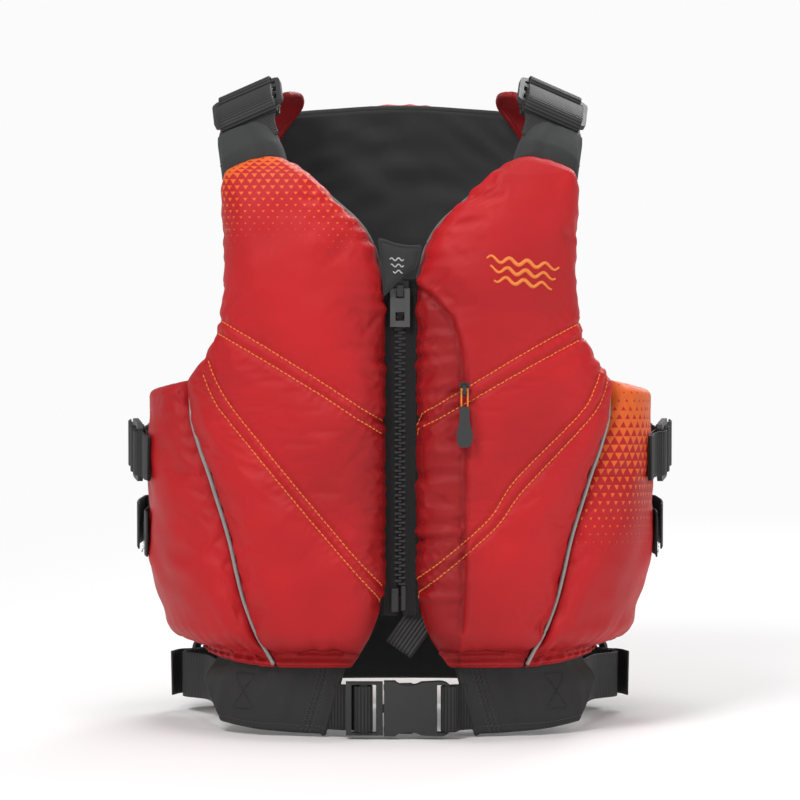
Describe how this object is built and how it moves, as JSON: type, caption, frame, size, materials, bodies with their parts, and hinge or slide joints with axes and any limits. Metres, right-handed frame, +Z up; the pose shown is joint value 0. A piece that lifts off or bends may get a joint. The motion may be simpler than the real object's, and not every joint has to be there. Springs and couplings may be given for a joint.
{
  "type": "life jacket",
  "caption": "Foam paddling life jacket: zip front halves that swing open from a one-piece back, pocket zip, webbing adjusters and a side-release waist belt.",
  "frame": {"origin": "on the floor plane under the middle of the jacket's overall box", "axes": "+Z up as worn, -Y the way the wearer faces, +X the wearer's left"},
  "size_m": [0.4434, 0.291, 0.5308],
  "materials": {
    "red_nylon": "plain-weave coated nylon, semi-matt",
    "charcoal_fabric": "matt knitted lining",
    "webbing": "ribbed polypropylene webbing",
    "plastic": "moulded acetal, fine texture",
    "foam": "closed-cell foam",
    "reflective": "retroreflective piping",
    "cord": "braided cord",
    "zip": "moulded zip teeth on woven tape"
  },
  "bodies": {
    "back": {"back_cover": "red_nylon", "back_foam": "foam", "back_liner": "charcoal_fabric", "shoulder_strap_left": "red_nylon", "shoulder_strap_right": "red_nylon", "back_piping_left": "reflective", "back_piping_right": "reflective", "back_cinch_strap": "webbing", "back_waist_panel": "charcoal_fabric", "belt_wing_left": "charcoal_fabric", "belt_wing_right": "charcoal_fabric", "belt_side_strap_left": "webbing", "belt_side_strap_right": "webbing", "buckle_socket": "plastic", "belt_web_socket": "webbing"},
    "right_front": {"front_cover_right": "red_nylon", "front_foam_right": "foam", "front_liner_right": "charcoal_fabric", "side_cover_right": "red_nylon", "side_foam_right": "foam", "shoulder_cap_right": "charcoal_fabric", "front_piping_right": "reflective", "zip_tape_right": "zip", "zip_top_flap": "charcoal_fabric"},
    "left_front": {"front_cover_left": "red_nylon", "front_foam_left": "foam", "front_liner_left": "charcoal_fabric", "side_cover_left": "red_nylon", "side_foam_left": "foam", "shoulder_cap_left": "charcoal_fabric", "front_piping_left": "reflective", "zip_tape_left": "zip", "pocket_zip": "zip", "hold_tab": "webbing"},
    "main_slider": {"zip_slider": "zip"},
    "main_pull": {"zip_pull": "zip"},
    "pocket_runner": {"pocket_slider": "zip"},
    "pocket_pull": {"pocket_cord": "cord", "pocket_grip": "plastic"},
    "tongue": {"buckle_tongue": "plastic", "belt_web_tongue": "webbing"},
    "prong_upper": {"buckle_prong_upper": "plastic"},
    "prong_lower": {"buckle_prong_lower": "plastic"},
    "shoulder_adjuster_left": {"shoulder_lock_left": "plastic", "shoulder_strap_fold_left": "webbing"},
    "upper_adjuster_left": {"upper_side_lock_left": "plastic", "upper_side_web_left": "webbing"},
    "back_adjuster_left": {"back_lock_left": "plastic", "back_lock_web_left": "webbing"},
    "belt_adjuster_left": {"belt_lock_left": "plastic", "belt_lock_web_left": "webbing"},
    "shoulder_adjuster_right": {"shoulder_lock_right": "plastic", "shoulder_strap_fold_right": "webbing"},
    "upper_adjuster_right": {"upper_side_lock_right": "plastic", "upper_side_web_right": "webbing"},
    "back_adjuster_right": {"back_lock_right": "plastic", "back_lock_web_right": "webbing"},
    "belt_adjuster_right": {"belt_lock_right": "plastic", "belt_lock_web_right": "webbing"}
  },
  "joints": [
    {"name": "left_front_swing", "type": "hinge", "parent": "back", "child": "left_front", "pos_m": [0.176, 0.0329, 0.16], "axis": [-0.1546, 0.0258, 0.9876], "range_deg": [0, 60]},
    {"name": "right_front_swing", "type": "hinge", "parent": "back", "child": "right_front", "pos_m": [-0.176, 0.0329, 0.16], "axis": [-0.1546, -0.0258, -0.9876], "range_deg": [0, 60]},
    {"name": "main_zip_slide", "type": "slide", "parent": "right_front", "child": "main_slider", "axis": [0, 0, -1], "range_m": [0, 0.24]},
    {"name": "main_zip_pull_tilt", "type": "hinge", "parent": "main_slider", "child": "main_pull", "pos_m": [0, -0.1098, 0.3672], "axis": [-1, 0, 0], "range_deg": [0, 60]},
    {"name": "pocket_zip_slide", "type": "slide", "parent": "left_front", "child": "pocket_runner", "axis": [0, 0, -1], "range_m": [-0.02, 0.165]},
    {"name": "pocket_pull_tilt", "type": "hinge", "parent": "pocket_runner", "child": "pocket_pull", "pos_m": [0.052, -0.1446, 0.2897], "axis": [-1, 0, 0], "range_deg": [0, 100]},
    {"name": "belt_buckle_release", "type": "slide", "parent": "back", "child": "tongue", "axis": [-1, 0, 0], "range_m": [0, 0.034]},
    {"name": "buckle_prong_squeeze", "type": "hinge", "parent": "tongue", "child": "prong_upper", "pos_m": [-0.0134, -0.1041, 0.0423], "axis": [0, 1, 0], "range_deg": [0, 6]},
    {"name": "buckle_prong_lower_squeeze", "type": "hinge", "parent": "tongue", "child": "prong_lower", "pos_m": [-0.0134, -0.1041, 0.0077], "axis": [0, -1, 0], "range_deg": [0, 6]},
    {"name": "shoulder_adjuster_left_tilt", "type": "hinge", "parent": "back", "child": "shoulder_adjuster_left", "pos_m": [0.12594, 0.01437, 0.51718], "axis": [-0.9105, -0.0765, 0.4064], "range_deg": [0, 35]},
    {"name": "shoulder_adjuster_right_tilt", "type": "hinge", "parent": "back", "child": "shoulder_adjuster_right", "pos_m": [-0.12594, 0.01437, 0.51718], "axis": [-0.9105, 0.0765, -0.4064], "range_deg": [0, 35]},
    {"name": "upper_adjuster_left_tilt", "type": "hinge", "parent": "left_front", "child": "upper_adjuster_left", "pos_m": [0.21314, -0.01267, 0.224], "axis": [0, 0, -1], "range_deg": [0, 35]},
    {"name": "upper_adjuster_right_tilt", "type": "hinge", "parent": "right_front", "child": "upper_adjuster_right", "pos_m": [-0.21314, -0.01267, 0.224], "axis": [0, 0, 1], "range_deg": [0, 35]},
    {"name": "back_adjuster_left_tilt", "type": "hinge", "parent": "back", "child": "back_adjuster_left", "pos_m": [0.16566, 0.12128, 0.159], "axis": [0, 0, 1], "range_deg": [0, 35]},
    {"name": "back_adjuster_right_tilt", "type": "hinge", "parent": "back", "child": "back_adjuster_right", "pos_m": [-0.16566, 0.12128, 0.159], "axis": [0, 0, -1], "range_deg": [0, 35]},
    {"name": "belt_adjuster_left_tilt", "type": "hinge", "parent": "back", "child": "belt_adjuster_left", "pos_m": [0.13301, 0.1082, 0.03317], "axis": [0.018, -0.0285, 0.9994], "range_deg": [0, 35]},
    {"name": "belt_adjuster_right_tilt", "type": "hinge", "parent": "back", "child": "belt_adjuster_right", "pos_m": [-0.13301, 0.1082, 0.03317], "axis": [0.018, 0.0285, -0.9994], "range_deg": [0, 35]}
  ]
}
